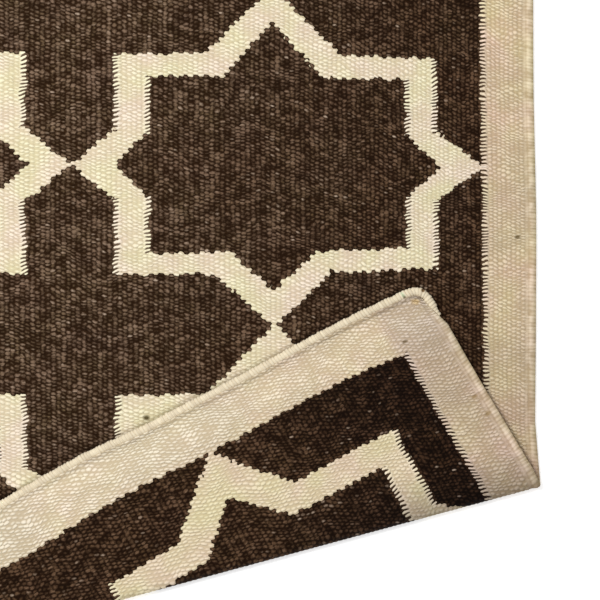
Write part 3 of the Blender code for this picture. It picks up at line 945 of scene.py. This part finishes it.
# A green thread and a brown burr, caught in the whipping by the turned back corner
for spot, reach, spot_colour in (
    (Vector((0.2136, -0.1846)), 0.0012, (204, 208, 178)),
    (Vector((0.2145, -0.1859)), 0.0011, (178, 184, 152)),
    (Vector((0.2153, -0.1870)), 0.0011, (140, 130, 104)),
    (Vector((0.2272, -0.1823)), 0.0013, (124, 96, 60)),
):
    flat_place = yarn_nodes.new("ShaderNodeVectorMath")
    flat_place.operation = "MULTIPLY"
    flat_place.inputs[1].default_value = (1.0, 1.0, 0.0)
    yarn_links.new(object_place.outputs["Object"], flat_place.inputs[0])
    apart = yarn_nodes.new("ShaderNodeVectorMath")
    apart.operation = "DISTANCE"
    apart.inputs[1].default_value = spot.to_3d()
    yarn_links.new(flat_place.outputs[0], apart.inputs[0])
    within = yarn_nodes.new("ShaderNodeMath")
    within.operation = "MULTIPLY_ADD"
    within.use_clamp = True
    within.inputs[1].default_value = -2.0 / reach
    within.inputs[2].default_value = 2.4
    yarn_links.new(apart.outputs["Value"], within.inputs[0])
    spotted = yarn_nodes.new("ShaderNodeMix")
    spotted.data_type = "RGBA"
    spotted.inputs[7].default_value = (*dyed(*spot_colour), 1.0)
    yarn_links.new(within.outputs[0], spotted.inputs[0])
    yarn_links.new(yarn_colour, spotted.inputs[6])
    yarn_colour = spotted.outputs[2]
yarn_links.new(yarn_colour, yarn_shader.inputs["Base Color"])
fibre = yarn_nodes.new("ShaderNodeTexNoise")
fibre.inputs["Scale"].default_value = 1500.0
fibre.inputs["Detail"].default_value = 3.0
yarn_links.new(object_place.outputs["Object"], fibre.inputs["Vector"])
yarn_bump = yarn_nodes.new("ShaderNodeBump")
yarn_bump.inputs["Strength"].default_value = 0.5
yarn_bump.inputs["Distance"].default_value = 0.0003
yarn_links.new(fibre.outputs["Fac"], yarn_bump.inputs["Height"])
yarn_links.new(yarn_bump.outputs["Normal"], yarn_shader.inputs["Normal"])
yarn_shader.inputs["Roughness"].default_value = 0.9
yarn_shader.inputs["Specular IOR Level"].default_value = 0.2
yarn_shader.inputs["Sheen Weight"].default_value = 0.08

stitching = bpy.data.node_groups.new("overcast_stitches", "GeometryNodeTree")
for name, kind, default in (
    ("Edge", "NodeSocketGeometry", None),
    ("Pitch", "NodeSocketFloat", STITCH_PITCH),
    ("Yarn", "NodeSocketFloat", STITCH_YARN),
    ("Slant", "NodeSocketFloat", STITCH_SLANT),
    ("Width", "NodeSocketFloat", WHIPPING_WIDTH),
    ("Height", "NodeSocketFloat", WHIPPING_HEIGHT),
    ("Material", "NodeSocketMaterial", None),
):
    socket = stitching.interface.new_socket(name, in_out="INPUT", socket_type=kind)
    if default is not None:
        socket.default_value = default
stitching.interface.new_socket("Stitches", in_out="OUTPUT", socket_type="NodeSocketGeometry")


def stitch_node(kind, **settings):
    """A node of the stitches' tree: its own settings in lower case, its inputs by name."""
    node = stitching.nodes.new(kind)
    for name, value in settings.items():
        setattr(node, name, value)
    return node


def feed(source, node, socket):
    """Links an output, or sets a number, on a node's input."""
    if isinstance(source, (int, float, tuple)):
        node.inputs[socket].default_value = source
    else:
        stitching.links.new(source, node.inputs[socket])


given = stitch_node("NodeGroupInput").outputs
path = stitch_node("GeometryNodeMeshToCurve")
feed(given["Edge"], path, "Mesh")
spaced = stitch_node("GeometryNodeResampleCurve", mode="LENGTH")
feed(path.outputs[0], spaced, "Curve")
feed(given["Pitch"], spaced, "Length")
loop_line = stitch_node("GeometryNodeCurvePrimitiveCircle")
feed(14, loop_line, "Resolution")
feed(0.5, loop_line, "Radius")
yarn_line = stitch_node("GeometryNodeCurvePrimitiveCircle")
feed(7, yarn_line, "Resolution")
thin = stitch_node("ShaderNodeMath", operation="MULTIPLY")
feed(given["Yarn"], thin, 0)
feed(0.5, thin, 1)
feed(thin.outputs[0], yarn_line, "Radius")
spread_yarn = stitch_node("GeometryNodeTransform")
feed(yarn_line.outputs[0], spread_yarn, "Geometry")
feed((1.0, YARN_SPREAD, 1.0), spread_yarn, "Scale")
oval_size = stitch_node("ShaderNodeCombineXYZ")
narrower = stitch_node("ShaderNodeMath", operation="SUBTRACT")
feed(given["Height"], narrower, 0)
feed(given["Yarn"], narrower, 1)
flatter = stitch_node("ShaderNodeMath", operation="SUBTRACT")
feed(given["Width"], flatter, 0)
feed(given["Yarn"], flatter, 1)
feed(narrower.outputs[0], oval_size, 0)
feed(flatter.outputs[0], oval_size, 1)
feed(1.0, oval_size, 2)
oval = stitch_node("GeometryNodeTransform")
feed(loop_line.outputs[0], oval, "Geometry")
feed(oval_size.outputs[0], oval, "Scale")
stitch = stitch_node("GeometryNodeCurveToMesh")
feed(oval.outputs[0], stitch, "Curve")
feed(spread_yarn.outputs[0], stitch, "Profile Curve")
heading = stitch_node("GeometryNodeInputTangent")
outward_way = stitch_node("GeometryNodeInputNamedAttribute", data_type="FLOAT_VECTOR")
outward_way.inputs["Name"].default_value = "outward"
along_edge = stitch_node("FunctionNodeAlignRotationToVector", axis="Z")
feed(heading.outputs[0], along_edge, "Vector")
upright = stitch_node("FunctionNodeAlignRotationToVector", axis="X", pivot_axis="Z")
feed(along_edge.outputs[0], upright, "Rotation")
feed(outward_way.outputs["Attribute"], upright, "Vector")
placed = stitch_node("GeometryNodeInstanceOnPoints")
feed(spaced.outputs[0], placed, "Points")
feed(stitch.outputs[0], placed, "Instance")
feed(upright.outputs[0], placed, "Rotation")
uneven_slant = stitch_node("FunctionNodeRandomValue", data_type="FLOAT")
uneven_slant.inputs[2].default_value = -UNEVEN_SLANT
uneven_slant.inputs[3].default_value = UNEVEN_SLANT
uneven_slant.inputs["Seed"].default_value = 3
slope = stitch_node("ShaderNodeMath", operation="ADD")
feed(given["Slant"], slope, 0)
feed(uneven_slant.outputs[1], slope, 1)
turn = stitch_node("ShaderNodeCombineXYZ")
feed(slope.outputs[0], turn, 0)
slanted = stitch_node("GeometryNodeRotateInstances")
feed(placed.outputs[0], slanted, "Instances")
feed(turn.outputs[0], slanted, "Rotation")
uneven_size = stitch_node("FunctionNodeRandomValue", data_type="FLOAT")
uneven_size.inputs[2].default_value = SMALLEST_STITCH
uneven_size.inputs[3].default_value = LARGEST_STITCH
uneven_size.inputs["Seed"].default_value = 8
fullness = stitch_node("GeometryNodeInputNamedAttribute", data_type="FLOAT")
fullness.inputs["Name"].default_value = "fullness"
grown = stitch_node("ShaderNodeMath", operation="MULTIPLY")
feed(uneven_size.outputs[1], grown, 0)
feed(fullness.outputs["Attribute"], grown, 1)
scaled = stitch_node("GeometryNodeScaleInstances")
feed(slanted.outputs[0], scaled, "Instances")
feed(grown.outputs[0], scaled, "Scale")
shade_of_yarn = stitch_node("FunctionNodeRandomValue", data_type="FLOAT")
shade_of_yarn.inputs["Seed"].default_value = 5
toned = stitch_node("GeometryNodeStoreNamedAttribute", data_type="FLOAT", domain="INSTANCE")
toned.inputs["Name"].default_value = "tone"
feed(scaled.outputs[0], toned, "Geometry")
feed(shade_of_yarn.outputs[1], toned, "Value")
real = stitch_node("GeometryNodeRealizeInstances")
feed(toned.outputs[0], real, "Geometry")
smooth = stitch_node("GeometryNodeSetShadeSmooth")
feed(real.outputs[0], smooth, "Geometry")
painted = stitch_node("GeometryNodeSetMaterial")
feed(smooth.outputs[0], painted, "Geometry")
feed(given["Material"], painted, "Material")
result = stitch_node("NodeGroupOutput")
feed(painted.outputs[0], result, 0)


def whipped_end(name, node, far):
    """One end's stitches over their core, folded with the cloth where it is turned back."""
    flat_route = whipping_route(far)
    ahead = [(b - a).normalized() for a, b in zip(flat_route, flat_route[1:])]
    ways = [ahead[0], *[(a + b).normalized() for a, b in zip(ahead, ahead[1:])], ahead[-1]]
    middle = WHIPPING_HEIGHT / 2
    place = (lambda p: p) if far else fold
    centres = []
    outward = []
    for point in flat_route:
        centre = place(Vector((point.x, point.y, middle)))
        above = place(Vector((point.x, point.y, middle + 0.001)))
        centres.append(centre)
        outward.append((above - centre).normalized())
    count = len(centres)
    from_ends = [min(k, count - 1 - k) / TAPERED_STEPS for k in range(count)]
    sizes = [1.0 - THINNER_ENDS * (1.0 - ease(share)) for share in from_ends]
    lumps = [noise.noise(Vector((k * 0.55, 4.0 if far else 0.0, 0.0))) for k in range(count)]
    sizes = [size * (1.0 + LUMPINESS * lump) for size, lump in zip(sizes, lumps)]

    guide_mesh = bpy.data.meshes.new(name + "_guide")
    guide_mesh.from_pydata(centres, [(k, k + 1) for k in range(count - 1)], [])
    facing_out = guide_mesh.attributes.new("outward", "FLOAT_VECTOR", "POINT")
    facing_out.data.foreach_set("vector", [value for vector in outward for value in vector])
    full = guide_mesh.attributes.new("fullness", "FLOAT", "POINT")
    full.data.foreach_set("value", sizes)
    guide = bpy.data.objects.new(name + "_guide", guide_mesh)
    bpy.context.collection.objects.link(guide)
    stitches = guide.modifiers.new("stitches", "NODES")
    stitches.node_group = stitching
    for item in stitching.interface.items_tree:
        if item.item_type == "SOCKET" and item.in_out == "INPUT" and item.name == "Material":
            stitches[item.identifier] = yarn
    bpy.context.view_layer.update()
    evaluated = guide.evaluated_get(bpy.context.evaluated_depsgraph_get())
    stitch_mesh = bpy.data.meshes.new_from_object(evaluated)
    bpy.data.objects.remove(guide)

    shape = bmesh.new()
    shape.from_mesh(stitch_mesh)
    rings = []
    for centre, out, way, point, size in zip(centres, outward, ways, flat_route, sizes):
        beyond = place(Vector((point.x + way.x * 0.0005, point.y + way.y * 0.0005, middle)))
        side = (beyond - centre).normalized().cross(out)
        ring = []
        for k in range(CORE_SIDES):
            angle = math.tau * k / CORE_SIDES
            wide = side * math.cos(angle) * WHIPPING_WIDTH / 2
            high = out * math.sin(angle) * WHIPPING_HEIGHT / 2
            ring.append(shape.verts.new(centre + (wide + high) * CORE_SHARE * size))
        rings.append(ring)
    core_faces = [shape.faces.new(rings[0]), shape.faces.new(rings[-1])]
    for ring, following in zip(rings, rings[1:]):
        for k in range(CORE_SIDES):
            after = (k + 1) % CORE_SIDES
            corners = (ring[k], ring[after], following[after], following[k])
            core_faces.append(shape.faces.new(corners))
    bmesh.ops.recalc_face_normals(shape, faces=core_faces)
    mesh = bpy.data.meshes.new(name)
    shape.to_mesh(mesh)
    shape.free()
    mesh.materials.clear()
    mesh.materials.append(yarn)
    mesh.polygons.foreach_set("material_index", [0] * len(mesh.polygons))
    mesh.shade_smooth()
    made = bpy.data.objects.new(name, mesh)
    bpy.context.collection.objects.link(made)
    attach(made, "root")
    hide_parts(node)
    return made


near_whipping = whipped_end("near_whipping", "near_end_binding", False)
far_whipping = whipped_end("far_whipping", "far_end_binding", True)
